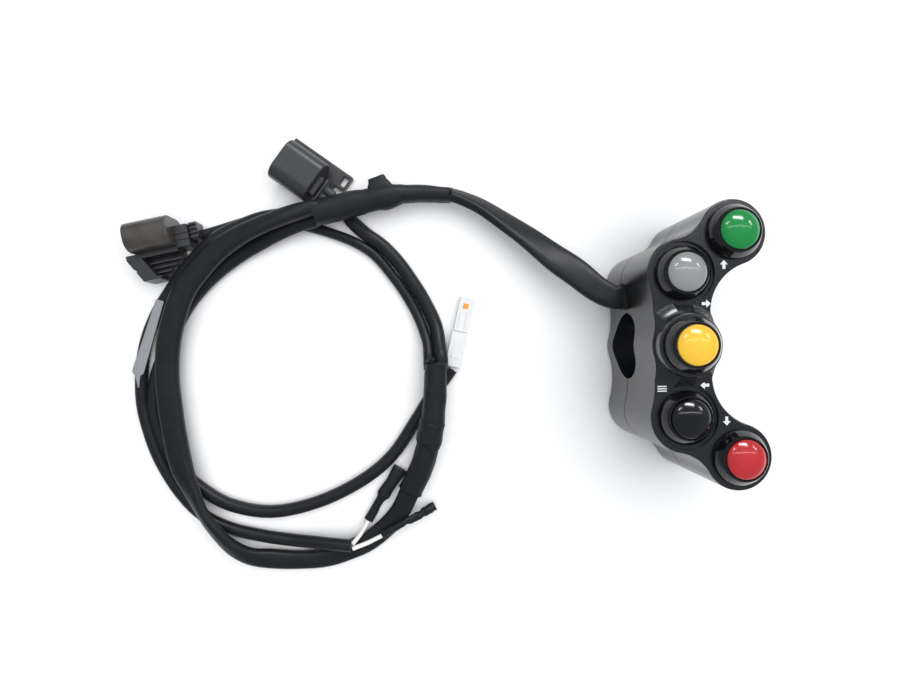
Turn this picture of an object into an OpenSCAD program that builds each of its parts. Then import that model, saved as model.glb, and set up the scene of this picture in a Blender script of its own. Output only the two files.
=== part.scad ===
// Handlebar switch cluster: two aluminium halves clamp round the bar and carry
// five sealed push buttons, with the wiring loom that leaves them.
// Origin on the bar axis under the middle button, +X along the bar and +Z out
// of the button face. The cluster lies on its back, so the table is the plane
// of the rear half's back.

/* [Housing] */
// Diameter of the handlebar that the two halves clamp
bar_d = 22.2; // [21.8:0.1:22.6]
// Height of the button face over the bar axis
face_z = 24.5; // [24:0.5:27]
// Depth of the rear half under the bar axis
rear_z = 18.5; // [17.5:0.5:21]
// Gap between the two halves at the seam
seam = 0.3; // [0.1:0.1:0.6]
// Thickness of the face that the buttons pass through
face_wall = 3; // [2.5:0.25:3.5]
// Thickness of the rear half's back
back_wall = 3; // [2:0.5:4]
// Radius of the outline round the middle button
mid_r = 10; // [9.8:0.1:10.8]
// Radius of the outline round the two inner buttons
inner_r = 10.9; // [10.4:0.1:11.6]
// Radius of the outline round the two arm buttons
arm_r = 10.1; // [9.7:0.1:10.8]
// Radius of the hollow between the middle and the inner outlines
waist_r = 29; // [26:0.5:34]
// Radius of the hollow between an inner outline and its arm
shoulder_r = 12; // [10:0.5:15]
// Reach of the outline's middle towards the grip
brow_x = 1; // [0.6:0.1:1.6]
// Radius of the hollow that faces the grip, between the middle and an arm
grip_r = 15.5; // [14.8:0.1:17]

/* [Buttons] */
// Offset of the inner buttons along the bar
inner_x = 0.95; // [0.5:0.05:1.5]
// Distance of the inner buttons from the bar axis
inner_y = 21.7; // [21.5:0.1:23]
// Offset of the arm buttons along the bar
arm_x = 16.55; // [15.5:0.05:18]
// Distance of the arm buttons from the bar axis
arm_y = 33.9; // [33:0.1:36]
// Height of the turret under the middle button over the face
turret_h = 6.5; // [5.5:0.1:8]
// Radius of the turret
turret_r = 9.4; // [9:0.1:9.9]
// Radius of the flare round the turret's foot, where it meets the face
flare_r = 13; // [12:0.1:13.4]
// Height of the flare round the turret's foot
flare_h = 3; // [2:0.25:4]
// Depth of the round recess that an inner button sits in
recess = 1; // [0.5:0.1:1.5]
// Width of the face left outside that recess
recess_rim = 1.2; // [0.8:0.1:1.6]

/* [Switches] */
// Diameter of a bezel on the face
bezel_d = 16.4; // [16.2:0.1:17]
// Height of a bezel's rim over its seat
bezel_h = 4; // [3.8:0.1:5]
// Width of the flat top of a bezel's rim
rim_w = 0.7; // [0.5:0.1:0.9]
// Height of the bezel's straight foot
foot_h = 1.1; // [0.9:0.1:1.5]
// Diameter of a bezel's threaded neck
neck_d = 14; // [13.8:0.1:14.2]
// Length of a bezel's neck below its seat
neck_l = 8; // [7.5:0.25:9]
// Thickness of the rubber ring under a bezel
gasket_h = 0.5; // [0.3:0.1:0.7]
// Diameter of a button cap
cap_d = 11.7; // [11.2:0.1:11.9]
// Height of the dome on a cap
dome_h = 2.2; // [1.6:0.1:2.8]
// How far the cap's edge stands over the rim
cap_proud = 0.3; // [0.1:0.1:0.6]
// Wall of a cap
cap_wall = 1.2; // [0.9:0.1:1.4]
// Travel of a button
travel = 1.5; // [1:0.1:1.6]
// Diameter of the plunger under a cap
plunger_d = 3.2; // [2.6:0.1:3.4]
// Wire diameter of the return spring
spring_wire = 0.6; // [0.4:0.05:0.7]
// Mean diameter of the return spring
spring_d = 6; // [5.4:0.1:6.6]
// Turns of the return spring
spring_turns = 4; // [3:1:5]
// Thickness of the web that carries the spring
web_h = 1.5; // [1:0.1:2]
// Length of the contact cup under the web
cup_l = 9; // [8.5:0.25:9.5]
// Wall of the contact cup
cup_wall = 1.2; // [1:0.1:1.5]
// Thickness of the contact bridge
bridge_h = 0.4; // [0.3:0.1:0.6]
// Diameter of a terminal pin
pin_d = 1.6; // [1.2:0.1:1.8]
// Distance between the two terminal pins
pin_pitch = 5; // [4.5:0.1:5.4]
// Length of a terminal pin under the cup
pin_l = 3; // [2:0.25:3.5]
// Thickness of the ring nut
nut_h = 3; // [2:0.25:3.5]
// Outer diameter of the ring nut
nut_d = 16; // [15.6:0.1:16.1]

/* [Clamp] */
// Diameter of the clamp bolts
bolt_d = 5; // [4:0.5:5]
// Diameter of a bolt head
bolt_head_d = 8.5; // [8:0.1:8.8]
// Height of a bolt head
bolt_head_h = 5; // [4:0.25:5.5]
// Hexagon in a bolt head across the flats
bolt_hex = 4; // [3:0.5:4]
// Reach of a bolt into the front half
bolt_reach = 7.5; // [6:0.25:8]
// Offset of the bolts along the bar
bolt_x = 3.2; // [2.6:0.1:3.6]
// Distance of the bolts from the bar's surface
bolt_off = 5.1; // [4.9:0.1:5.4]

/* [Cable exit] */
// Width of the cable opening in the left wall
exit_w = 8.8; // [8.6:0.1:9.4]
// Height of the cable opening, half of it in each housing half
exit_h = 5; // [4.8:0.1:5.6]
// Distance of the cable opening from the bar axis
exit_y = 16.8; // [16.4:0.1:17.2]
// Length of the rubber grommet in the opening
grommet_l = 6.5; // [5.5:0.5:6.5]
// How far the grommet reaches out, from the bar's middle
grommet_x = 10; // [9.9:0.1:10.6]

/* [Plugs] */
// Length of a sealed plug's shroud
shroud_l = 15.2; // [14:0.2:17]
// Wider side of the shroud
shroud_wide = 15.4; // [14.4:0.1:16]
// Narrower side of the shroud
shroud_thin = 10.4; // [10:0.1:11]
// Wall of the shroud
shroud_wall = 1.4; // [1:0.1:1.8]
// Corner radius of the shroud
shroud_corner = 4.4; // [3:0.1:4.8]
// Depth of the solid rear of the shroud
shroud_floor = 3; // [2:0.5:5]
// Height of the lock beside the left plug
lock_h = 8.5; // [7:0.25:10]
// Width of that lock
lock_w = 9.8; // [8:0.1:10]
// Reach of that lock past the shroud
lock_nose = 3; // [2:0.25:4]
// Width of the ledge between the shroud and the lock's channel
lock_ledge = 1.6; // [1:0.1:2.5]
// Width of the slanted bar across the lock's nose
lock_bar = 5.2; // [3:0.1:7]
// Floor of the channel in the lock
lock_floor = 2.5; // [1:0.25:4]
// Width of the top plug's lock plate outside the shroud
plate_strip = 2.3; // [1.5:0.1:3]
// Thickness of that plate
plate_h = 3.1; // [2:0.1:3.1]
// Diameter of the wire seals at the rear of the top plug
seal_d = 2.9; // [2.4:0.1:3]
// Distance between the two wire seals
seal_pitch = 3; // [3:0.1:3.6]
// Length of the white plug
white_l = 25.5; // [24:0.5:27]
// Width of the white plug's rear half
white_w = 5.6; // [5:0.1:6]
// Height of the white plug
white_h = 4.6; // [4:0.1:5]

/* [Hidden] */
$fn = 48;
fit = 0.1;
// How far a hollow of the outline bites into the circles that it joins
bite = 0.03;
bar_r = bar_d / 2;
table = -rear_z;

// Button places in the plan, from the top arm to the bottom one
mid = [0, 0];
brow = [brow_x, 0];
inner = [inner_x, inner_y];
arm = [arm_x, arm_y];
SIDES = [1, -1];
function flip(p, side) = [p.x, p.y * side];
turret_z = face_z + turret_h;
flare_slope = (flare_r - turret_r) / flare_h;
recess_z = face_z - recess;
green_at = [arm.x, arm.y, face_z];
grey_at = [inner.x, inner.y, recess_z];
yellow_at = [mid.x, mid.y, turret_z];
black_at = [inner.x, -inner.y, recess_z];
red_at = [arm.x, -arm.y, face_z];
SEATS = [green_at, grey_at, yellow_at, black_at, red_at];
NUT_SEATS = [green_at, grey_at, black_at, red_at];

// Heights in a switch, over the seat of its bezel
lip_h = 1.6;
cap_r = cap_d / 2;
cap_gap = 0.15;
upper_bore_r = cap_r + cap_gap;
flange_r = cap_r + 0.3;
lower_bore_r = flange_r + cap_gap;
flange_h = 1.1;
lip_z = bezel_h - lip_h;
flange_top = lip_z - fit;
flange_bottom = flange_top - flange_h;
cap_edge = bezel_h + cap_proud;
cap_under = cap_edge - cap_wall + 0.5;
dome_r = (cap_r * cap_r + dome_h * dome_h) / (2 * dome_h);
web_top = flange_bottom - travel - 1.9;
web_bottom = web_top - web_h;
cup_top = web_bottom - fit;
cup_bottom = cup_top - cup_l;
cup_r = lower_bore_r - fit;
cup_floor = cup_bottom + cup_wall + 0.4;
pin_top = cup_floor + 1.6;
bridge_bottom = pin_top + fit + travel;
bridge_r = cup_r - cup_wall - 1.2;
bridge_top = bridge_bottom + bridge_h;
plunger_bottom = bridge_top + fit;
plunger_r = plunger_d / 2;
guide_r = plunger_r + fit;
neck_r = neck_d / 2;
hole_r = neck_r + fit;
gasket_r = bezel_d / 2 - 0.2;
spring_bottom = web_top + spring_wire / 2 + fit;
spring_top = cap_under - spring_wire / 2 - fit;
pin_bottom = cup_bottom - pin_l;

// Clamp bolts and the pockets that leave metal round them
bolt_r = bolt_d / 2;
bolt_y = bar_r + bolt_off;
bolt_fit = 0.2;
head_r = bolt_head_d / 2;
head_sink = bolt_head_h + 0.4;
boss_top = bolt_reach + 1;
front_boss_r = bolt_r + 1.7;
rear_boss_r = head_r + 1.2;
pocket_r = nut_d / 2 + 0.2;
pocket_top = face_z - face_wall;
inner_pocket_top = recess_z - face_wall;
bar_wall = 1.3;
duct_w = 5;
duct_floor = bar_r + bar_wall;
duct_top = yellow_at.z + pin_bottom - 0.3;
arm_duct_w = 6;
arm_duct_top = 12;

// Loom routes: along the bar, across it, and the height over the table
trunk_route = [[-grommet_x - 0.5, exit_y, rear_z], [-13.2, 16.9, 18.3], [-18.5, 20.3, 16.6],
    [-24.5, 26, 14.5], [-32, 32, 12.5], [-40, 39, 10.5], [-48, 45, 9], [-56, 50.5, 8.2],
    [-62.5, 53.6, 8], [-66.7, 55, 8]];
trunk_sizes = [[8, 4.2], [8.2, 4.2], [9.2, 3.8], [10, 3.5], [9.8, 3.6], [8.2, 4.3], [7.1, 5],
    [6.2, 5.6], [5.4, 6.2], [5, 6.4]];
trunk_shrink_route = [[-67.5, 55.3, 8], [-76, 55.9, 8.2], [-84, 55.5, 8.5], [-88, 55.5, 8.8],
    [-91, 55.6, 9], [-95, 55.2, 9.1], [-97, 54, 9.2], [-101, 52.4, 9.2], [-108, 50.7, 9.2],
    [-115.5, 49, 8.8]];
trunk_shrink_sizes = [[5.4, 7], [5.8, 7], [6.6, 7.2], [8.4, 7.4], [11.6, 8], [12, 8],
    [9.4, 7.6], [9, 7.4], [9, 7.4], [9, 8.4]];
main_route = [[-116.2, 49.7, 11.1], [-123, 48, 10.9], [-130.5, 45, 10.5], [-139, 41, 9.2],
    [-148, 36, 8.2], [-155, 30, 7.4], [-161, 21.5, 7.3], [-164.5, 12.5, 7.2], [-167, 2, 7.2],
    [-168, -8.5, 7.2], [-167.5, -19.5, 7.2], [-165.5, -30, 7.2], [-163, -39.5, 7.3],
    [-160.5, -48, 7.3], [-156, -57, 7.3], [-150.5, -64.5, 6.8], [-143, -70.5, 4.9],
    [-135.5, -74, 3], [-125, -75, 2.4], [-115, -74.5, 2.4], [-105.5, -71.5, 2.4],
    [-99, -68.5, 2.4], [-92.5, -63.5, 2.9], [-87.5, -57.8, 4], [-83.9, -50.7, 5.4]];
upper_route = [[-116.6, 51.4, 6.3], [-125, 49.7, 6.2], [-134.5, 49, 6.2], [-142, 46.5, 6.2],
    [-148.5, 43.5, 6.2], [-153.5, 39.5, 5.9], [-159.5, 34, 4], [-167, 25, 2.5], [-173, 15.5, 2.3],
    [-177, 5.5, 2.3], [-179, -5, 2.3], [-179.5, -16, 2.3], [-178, -26.5, 2.3], [-174.5, -38, 2.3],
    [-168, -49.5, 2.3], [-159.5, -58, 2.3], [-148.5, -62.5, 2.3], [-137, -65.5, 2.3],
    [-127, -67, 3.1], [-119, -67.5, 4.7], [-111.5, -68, 6.4], [-104.5, -68.5, 7.3]];
lower_route = [[-115.7, 46.9, 6.3], [-121.5, 45, 6.2], [-126, 43, 5.3], [-133, 40, 3.4],
    [-141, 36, 2.5], [-148, 31.5, 2.3], [-154.5, 25.5, 2.3], [-159.5, 19, 2.3], [-164, 12, 2.3],
    [-168.5, 3, 2.3], [-172.5, -7, 2.3], [-174.5, -17, 2.3], [-173.5, -25, 2.3],
    [-170.5, -33, 2.3], [-166, -40.5, 2.3], [-159, -47.5, 2.3], [-148.5, -54, 2.3],
    [-133.5, -57, 2.3], [-117, -54, 2.3], [-101.5, -47, 2.3], [-90, -38, 2.3],
    [-81.5, -26, 2.3], [-76, -17.5, 2.3], [-71, -11.5, 2.3], [-67.8, -7.2, 2.3]];
loop_shrink_route = [[-83.5, -50, 5.6], [-79.5, -42, 6.9], [-77.5, -35.5, 8], [-77, -34, 8.2],
    [-76.5, -32, 8.5], [-75.5, -27, 8.8], [-75, -24, 8.9], [-74.6, -21, 8.9], [-74, -14, 8.9],
    [-73.5, -5, 8.9]];
loop_shrink_sizes = [[8.4, 7], [8.4, 8], [8.2, 8.2], [8.4, 8.2], [9.2, 8.4], [9.2, 8.4],
    [8.6, 8.4], [8.4, 8.4], [8.2, 8.4], [8, 8.4]];
left_route = [[-76.3, -4.3, 8.3], [-76.4, -2, 8], [-77, 3, 5.5], [-79.5, 10, 2.8],
    [-83.5, 18, 2], [-88, 24.5, 2], [-93.5, 30.5, 2], [-100, 36, 2], [-107.5, 41, 2],
    [-115.5, 44.5, 2], [-124.5, 47, 2], [-133.5, 48.5, 2], [-141.5, 47.5, 2], [-150, 45, 2],
    [-156.1, 43.1, 2.2]];
top_route = [[-71.7, -4.4, 9], [-71.8, -2.2, 8.6], [-72.3, 1.5, 6.6], [-73.5, 9, 3.4],
    [-77.5, 18, 2.6], [-82, 25.5, 2.6], [-86.5, 32, 2.6], [-92, 38, 2.6], [-98, 42.5, 2.6],
    [-103, 47.2, 2.6], [-106.2, 52, 2.6], [-109.4, 54.7, 3.8]];
wire_1_route = [[-103.6, -67.5, 7.9], [-101.5, -65, 5], [-99.4, -61.9, 2.3]];
wire_2_route = [[-103.7, -69.4, 7.1], [-99, -68, 6], [-94.2, -65.7, 6.2]];
boot_1_route = [[-98.9, -61, 1.9], [-95, -54.5, 2.2], [-93.6, -52.2, 2.5], [-91, -48.5, 2.5],
    [-87, -42.6, 2.5]];
boot_1_sizes = [[3.2, 3], [3.2, 3], [4.4, 4], [4.7, 4.2], [4.7, 4.2]];
boot_2_route = [[-93.6, -65.4, 6.3], [-87.5, -61.7, 7.1], [-81.5, -59.4, 5.3], [-75, -56.4, 3.3]];
boot_2_sizes = [[2.4, 2.4], [2.4, 2.4], [2.6, 2.6], [3.4, 3]];
label_route = [[-169.1, 22.5, 5.1], [-173.5, 15.7, 4.9], [-177.5, 5.6, 4.9], [-179.3, -4, 4.9]];
main_size = [8.2, 4.4];
main_end_w = 7.2;
upper_d = 4.4;
lower_d = 4.5;
left_d = 3.7;
top_d = 5;
wire_d = 1.6;
label_size = [4.6, 0.3];
round_sides = 10;
thin_sides = 8;

// Plugs: the middle of the rear face on the table, and the way it points
left_plug_at = [-156.6, 43, table];
left_plug_turn = 191.3;
top_plug_at = [-110.2, 57.2, table];
top_plug_turn = 144;
white_plug_at = [-67.5, -6.2, table];
white_plug_turn = 76.6;

// Rear of both plugs, and the places of their shrouds across them
rear_l = 2.6;
plug_gap = 0.2;
block_foot = 0.5;
left_aside = -1.8;
left_block = [4.6, -3.6, 7.8, 8.5];
top_aside = 0.6;
top_block = [1.9, -2, 7.2, 7.4];
cover_span = [-4.2, 2];
cover_foot = 0.3;
cover_h = 7.7;
cover_ribs = 4;
groove = 0.8;

// Left plug's lock: how far its nose slants back, and the edges past the slant
lock_slant = 4.4;
lock_foot = 5.6;
lock_heel = 3.4;
lock_wall = 1;
lock_ribs = 3;
rib_w = 0.6;
rib_h = 2.5;
notch = 1.2;

// Top plug's lock plate and wire seals
plate_w = 12;
plate_rear = 1;
plate_tail = 3;
tail_w = 6.2;
window_edge = 0.7;
seal_l = 1.6;
seal_v = 0.1;
seal_h = 5;
seal_plate = [0.6, 5];

// Middle of the round hollow of radius r that touches two outline circles
function hollow_at(a, ra, b, rb, r, hand) =
    let (d = norm(b - a), e = (b - a) / d, n = [-e.y, e.x],
        x = ((ra + r) * (ra + r) - (rb + r) * (rb + r) + d * d) / (2 * d))
    a + e * x + n * hand * sqrt((ra + r) * (ra + r) - x * x);

// Web between two outline circles, cut by the hollow that runs into both; it
// reaches past the third circle's side of the core so that the webs overlap
module web(a, ra, b, rb, r, hand, third) {
    at = hollow_at(a, ra - bite, b, rb - bite, r, hand);
    deep = (a + b) / 4 + third / 2;
    difference() {
        polygon([a, at, b, deep]);
        translate(at) circle(r, $fn = 96);
    }
}

// Block with the plan of the housing: five round posts joined by webs
module block(h) {
    union() {
        cylinder(r = mid_r, h = h);
        translate(brow) cylinder(r = mid_r, h = h);
        for (side = SIDES) {
            near = flip(inner, side);
            far = flip(arm, side);
            translate(near) cylinder(r = inner_r, h = h);
            translate(far) cylinder(r = arm_r, h = h);
            linear_extrude(h) web(mid, mid_r, near, inner_r, waist_r, side, far);
            linear_extrude(h) web(near, inner_r, far, arm_r, shoulder_r, side, mid);
            linear_extrude(h) web(brow, mid_r, far, arm_r, grip_r, -side, near);
        }
    }
}

module bar_bore() {
    rotate([0, 90, 0]) cylinder(r = bar_r, h = 4 * mid_r, center = true, $fn = 96);
}

// Opening for the loom in the left wall, shared by the two halves
module cable_opening() {
    translate([-grommet_x - mid_r, exit_y - exit_w / 2, -exit_h / 2])
        cube([grommet_x + mid_r - 3, exit_w, exit_h]);
}

// Room for the switches and their leads on one side of the bar, without the
// posts that the clamp bolts pass through
module pockets(side, post_r, post_h, inner_top, arm_top, duct_h) {
    lean = atan2(arm.y - inner.y, arm.x - inner.x);
    difference() {
        translate(flip(inner, side)) cylinder(r = pocket_r, h = inner_top);
        translate([bolt_x, bolt_y * side, -1]) cylinder(r = post_r, h = post_h + 1);
    }
    translate(flip(arm, side)) cylinder(r = pocket_r, h = arm_top);
    translate(flip(inner, side)) rotate(lean * side)
        translate([pocket_r - 2, -arm_duct_w / 2, 0])
            cube([norm(arm - inner) - 2 * pocket_r + 4, arm_duct_w, duct_h]);
}

module front_housing() {
    color([0.13, 0.13, 0.14]) difference() {
        union() {
            translate([0, 0, seam / 2]) block(face_z - seam / 2);
            translate([0, 0, face_z - 1]) cylinder(r = turret_r, h = turret_h + 1);
            intersection() {
                translate([0, 0, face_z - 1]) block(flare_h + 2);
                translate([0, 0, face_z - 1])
                    cylinder(r1 = flare_r + flare_slope, r2 = turret_r - flare_slope, h = flare_h + 2);
            }
        }
        bar_bore();
        cable_opening();
        for (side = SIDES) {
            pockets(side, front_boss_r, boss_top, inner_pocket_top, pocket_top, arm_duct_top);
            translate([bolt_x, bolt_y * side, -1]) cylinder(r = bolt_r + fit / 2, h = bolt_reach + 1.5);
            translate([0, 0, recess_z]) translate(flip(inner, side))
                cylinder(r = inner_r - recess_rim, h = recess + 1);
        }
        for (seat = NUT_SEATS)
            translate([seat.x, seat.y, seat.z - face_wall - 1]) cylinder(r = hole_r, h = face_wall + 3);
        translate([mid.x, mid.y, duct_floor]) cylinder(r = hole_r, h = turret_z - duct_floor + 1);
        translate([-duct_w / 2, -inner_y + pocket_r / 2, duct_floor])
            cube([duct_w, 2 * inner_y - pocket_r, duct_top - duct_floor]);
    }
}

module rear_housing() {
    pocket_h = rear_z - back_wall;
    color([0.15, 0.15, 0.16]) difference() {
        translate([0, 0, table]) block(rear_z - seam / 2);
        bar_bore();
        cable_opening();
        for (side = SIDES) {
            translate([0, 0, -pocket_h])
                pockets(side, rear_boss_r, pocket_h + 1, pocket_h + 1, pocket_h + 1, pocket_h + 1);
            translate([bolt_x, bolt_y * side, table - 1]) cylinder(r = bolt_r + bolt_fit, h = rear_z + 2);
            translate([bolt_x, bolt_y * side, table - 1]) cylinder(r = head_r + bolt_fit, h = head_sink + 1);
        }
    }
}

module clamp_bolts() {
    color([0.25, 0.25, 0.26]) for (side = SIDES) translate([bolt_x, bolt_y * side, table + head_sink])
        difference() {
            union() {
                translate([0, 0, -bolt_head_h]) cylinder(r = head_r, h = bolt_head_h);
                cylinder(r = bolt_r, h = rear_z - head_sink + bolt_reach);
            }
            translate([0, 0, -bolt_head_h - 1])
                cylinder(d = bolt_hex / cos(30), h = bolt_head_h / 2 + 1, $fn = 6);
        }
}

module cable_grommet() {
    bore_h = exit_h / 2;
    bore_w = exit_w - bore_h - 2;
    color([0.06, 0.06, 0.06]) translate([-grommet_x, exit_y, 0]) difference() {
        translate([0, fit - exit_w / 2, fit - exit_h / 2])
            cube([grommet_l, exit_w - 2 * fit, exit_h - 2 * fit]);
        translate([-1, -bore_w / 2, -bore_h / 2]) cube([grommet_l + 2, bore_w, bore_h]);
        for (side = SIDES) translate([-1, side * bore_w / 2, 0]) rotate([0, 90, 0])
            cylinder(d = bore_h, h = grommet_l + 2);
    }
}

// Bezel with its cone, its neck and the web that carries the spring
module bezel(seat) {
    foot = gasket_h + foot_h;
    color([0.05, 0.05, 0.06]) translate(seat) difference() {
        union() {
            translate([0, 0, -neck_l]) cylinder(r = neck_r, h = neck_l + foot);
            translate([0, 0, gasket_h]) cylinder(d = bezel_d, h = foot_h);
            translate([0, 0, foot])
                cylinder(r1 = bezel_d / 2, r2 = upper_bore_r + rim_w, h = bezel_h - foot);
        }
        translate([0, 0, lip_z - 1]) cylinder(r = upper_bore_r, h = lip_h + 2);
        translate([0, 0, web_top]) cylinder(r = lower_bore_r, h = lip_z - web_top);
        translate([0, 0, -neck_l - 1]) cylinder(r = lower_bore_r, h = neck_l + 1 + web_bottom);
        translate([0, 0, web_bottom - 1]) cylinder(r = guide_r, h = web_h + 2);
    }
}

// Domed cap, held under the bezel's lip by its flange
module cap(seat, tint) {
    color(tint) translate(seat) difference() {
        union() {
            translate([0, 0, flange_bottom]) cylinder(r = flange_r, h = flange_h);
            intersection() {
                translate([0, 0, flange_bottom]) cylinder(r = cap_r, h = cap_edge + dome_h);
                translate([0, 0, cap_edge + dome_h - dome_r]) sphere(dome_r, $fn = 96);
            }
        }
        translate([0, 0, flange_bottom - 1])
            cylinder(r = cap_r - cap_wall, h = cap_under - flange_bottom + 1);
    }
}

module plunger(seat) {
    color([0.85, 0.85, 0.8]) translate([seat.x, seat.y, seat.z + plunger_bottom])
        cylinder(r = plunger_r, h = cap_under - fit - plunger_bottom);
}

module bridge(seat) {
    color([0.78, 0.6, 0.28]) translate([seat.x, seat.y, seat.z + bridge_bottom])
        cylinder(r = bridge_r, h = bridge_h);
}

module contact_cup(seat) {
    color([0.1, 0.1, 0.1]) translate(seat) difference() {
        translate([0, 0, cup_bottom]) cylinder(r = cup_r, h = cup_l);
        translate([0, 0, cup_floor]) cylinder(r = cup_r - cup_wall, h = cup_l);
        for (side = SIDES) translate([side * pin_pitch / 2, 0, cup_bottom - 1])
            cylinder(d = pin_d + fit, h = cup_l);
    }
}

module bezel_gaskets() {
    color([0.04, 0.04, 0.04]) for (seat = SEATS) translate(seat) difference() {
        cylinder(r = gasket_r, h = gasket_h);
        translate([0, 0, -1]) cylinder(r = hole_r, h = gasket_h + 2);
    }
}

// Ring nuts behind the face; the middle bezel screws into the turret instead
module ring_nuts() {
    slot_w = 2;
    color([0.75, 0.75, 0.72]) for (seat = NUT_SEATS)
        translate([seat.x, seat.y, seat.z - face_wall - fit - nut_h]) difference() {
            cylinder(d = nut_d, h = nut_h);
            translate([0, 0, -1]) cylinder(r = hole_r, h = nut_h + 2);
            translate([-nut_d, -slot_w / 2, -1]) cube([2 * nut_d, slot_w, 2]);
        }
}

module terminal_pins() {
    color([0.8, 0.65, 0.3]) for (seat = SEATS) for (side = SIDES)
        translate([seat.x + side * pin_pitch / 2, seat.y, seat.z + pin_bottom])
            cylinder(d = pin_d, h = pin_top - pin_bottom);
}

// Sweeps along a route: rings of given width and height, square to the route
function unit(v) = v / norm(v);
function heading(route, i) =
    let (last = len(route) - 1)
    unit((i == 0 ? [0, 0, 0] : unit(route[i] - route[i - 1]))
        + (i == last ? [0, 0, 0] : unit(route[i + 1] - route[i])));
function ring(p, t, size, sides) =
    let (across = unit(cross([0, 0, 1], t)), up = cross(t, across))
    [for (k = [0 : sides - 1]) let (a = 360 * (k + 0.5) / sides)
        p + across * size.x / 2 * cos(a) + up * size.y / 2 * sin(a)];
function wall_faces(rings, sides) =
    [for (i = [0 : rings - 2]) for (k = [0 : sides - 1])
        let (a = i * sides + k, b = i * sides + (k + 1) % sides)
        each [[a, a + sides, b + sides], [a, b + sides, b]]];
function end_faces(rings, sides) =
    let (end = (rings - 1) * sides)
    [for (k = [1 : sides - 2]) each [[0, k, k + 1], [end, end + k + 1, end + k]]];

module swept(route, sizes, sides) {
    rings = len(route);
    polyhedron(
        points = [for (i = [0 : rings - 1]) each ring(route[i], heading(route, i), sizes[i], sides)],
        faces = concat(wall_faces(rings, sides), end_faces(rings, sides)));
}

// A piece of the loom, with its heights counted from the table
module laid(route, sizes, sides) {
    translate([0, 0, table]) swept(route, sizes, sides);
}

function even(route, size) = [for (p = route) size];
function round_size(d) = [d, d];
function share(from, to, i, n) = from + (to - from) * i / (n - 1);

// Return spring: one unbroken coil between the web and the underside of the cap
module return_spring(seat) {
    steps = 8 * spring_turns;
    climb = (spring_top - spring_bottom) / steps;
    coil = [for (i = [0 : steps]) let (a = 360 * i / 8)
        [spring_d / 2 * cos(a), spring_d / 2 * sin(a), spring_bottom + climb * i]];
    color([0.7, 0.7, 0.72]) translate(seat)
        swept(coil, even(coil, round_size(spring_wire)), 6);
}

loom_black = [0.09, 0.09, 0.1];
module trunk_sleeve() {
    color(loom_black) laid(trunk_route, trunk_sizes, round_sides);
}
module trunk_shrink() {
    color(loom_black) laid(trunk_shrink_route, trunk_shrink_sizes, round_sides);
}
module main_sleeve() {
    n = len(main_route);
    sizes = [for (i = [0 : n - 1]) [share(main_size.x, main_end_w, i, n), main_size.y]];
    color(loom_black) laid(main_route, sizes, round_sides);
}
module loop_shrink() {
    color(loom_black) laid(loop_shrink_route, loop_shrink_sizes, round_sides);
}
module cable(route, d, sides, tint) {
    color(tint) laid(route, even(route, round_size(d)), sides);
}
module cable_label() {
    color([0.75, 0.76, 0.78]) laid(label_route, even(label_route, label_size), 4);
}

// Sealed plug: an open shroud on a rear block, lying with one side on the table.
// A block is given as its length, its start across the plug, its width and height
module plug_shell(wide, tall, lift, aside, block, tint) {
    color(tint) translate([rear_l + plug_gap, 0, lift]) {
        translate([block[0], aside, tall / 2]) rotate([90, 0, 90]) difference() {
            linear_extrude(shroud_l) rounded(wide, tall, shroud_corner);
            translate([0, 0, shroud_floor]) linear_extrude(shroud_l)
                rounded(wide - 2 * shroud_wall, tall - 2 * shroud_wall, shroud_corner - shroud_wall / 2);
        }
        translate([0, block[1], block_foot]) cube([block[0], block[2], block[3]]);
    }
}
module rounded(wide, tall, r) {
    square([wide - 2 * r, tall], center = true);
    square([wide, tall - 2 * r], center = true);
    for (x = SIDES) for (y = SIDES) translate([x * (wide / 2 - r), y * (tall / 2 - r)]) circle(r);
}

module left_plug() {
    translate(left_plug_at) rotate(left_plug_turn) children();
}
module left_plug_shell() {
    left_plug() plug_shell(shroud_thin, shroud_wide, 0, left_aside, left_block, [0.16, 0.15, 0.15]);
}

// Lock beside the left plug: a ledge, a slanted bar across its nose, and between
// them and the outer wall a channel with ribs
module left_plug_lock() {
    side = left_aside + shroud_thin / 2 + fit;
    start = rear_l + left_block[0] + 2 * plug_gap;
    nose = rear_l + plug_gap + left_block[0] + shroud_l + lock_nose;
    far = side + lock_w;
    ledge = side + lock_ledge;
    inset = lock_slant * (lock_w - lock_ledge - lock_wall) / (lock_w - lock_ledge);
    rib_pitch = (lock_w - lock_ledge - lock_wall) / (lock_ribs + 1);
    plan = [[start, side], [nose, side], [nose, ledge], [nose - lock_slant, far],
        [nose - lock_slant - lock_foot, far], [start, side + lock_heel]];
    color([0.12, 0.12, 0.12]) left_plug() {
        difference() {
            linear_extrude(lock_h) polygon(plan);
            translate([0, 0, lock_floor]) linear_extrude(lock_h) polygon([[start - 1, ledge],
                [nose - lock_bar, ledge], [nose - lock_bar - inset, far - lock_wall],
                [start - 1, far - lock_wall]]);
            translate([nose - lock_slant / 2, (ledge + far) / 2, -1])
                rotate(atan2(far - ledge, -lock_slant))
                    cube([notch, notch, 3 * lock_h], center = true);
        }
        intersection() {
            linear_extrude(lock_floor + rib_h) polygon(plan);
            for (k = [1 : lock_ribs])
                translate([start - 1, ledge + rib_pitch * k - rib_w / 2, lock_floor - 1])
                    cube([nose - lock_bar - inset - start + 1, rib_w, lock_h]);
        }
    }
}

// Ribbed cover over the wires at the rear of the left plug
module left_plug_cap() {
    wide = cover_span[1] - cover_span[0];
    pitch = wide / cover_ribs;
    color([0.08, 0.08, 0.08]) left_plug() translate([0, cover_span[0], cover_foot]) difference() {
        cube([rear_l, wide, cover_h]);
        for (k = [1 : cover_ribs - 1]) translate([-1, pitch * k - groove / 2, cover_h - 1])
            cube([rear_l + 2, groove, 2]);
    }
}

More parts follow.
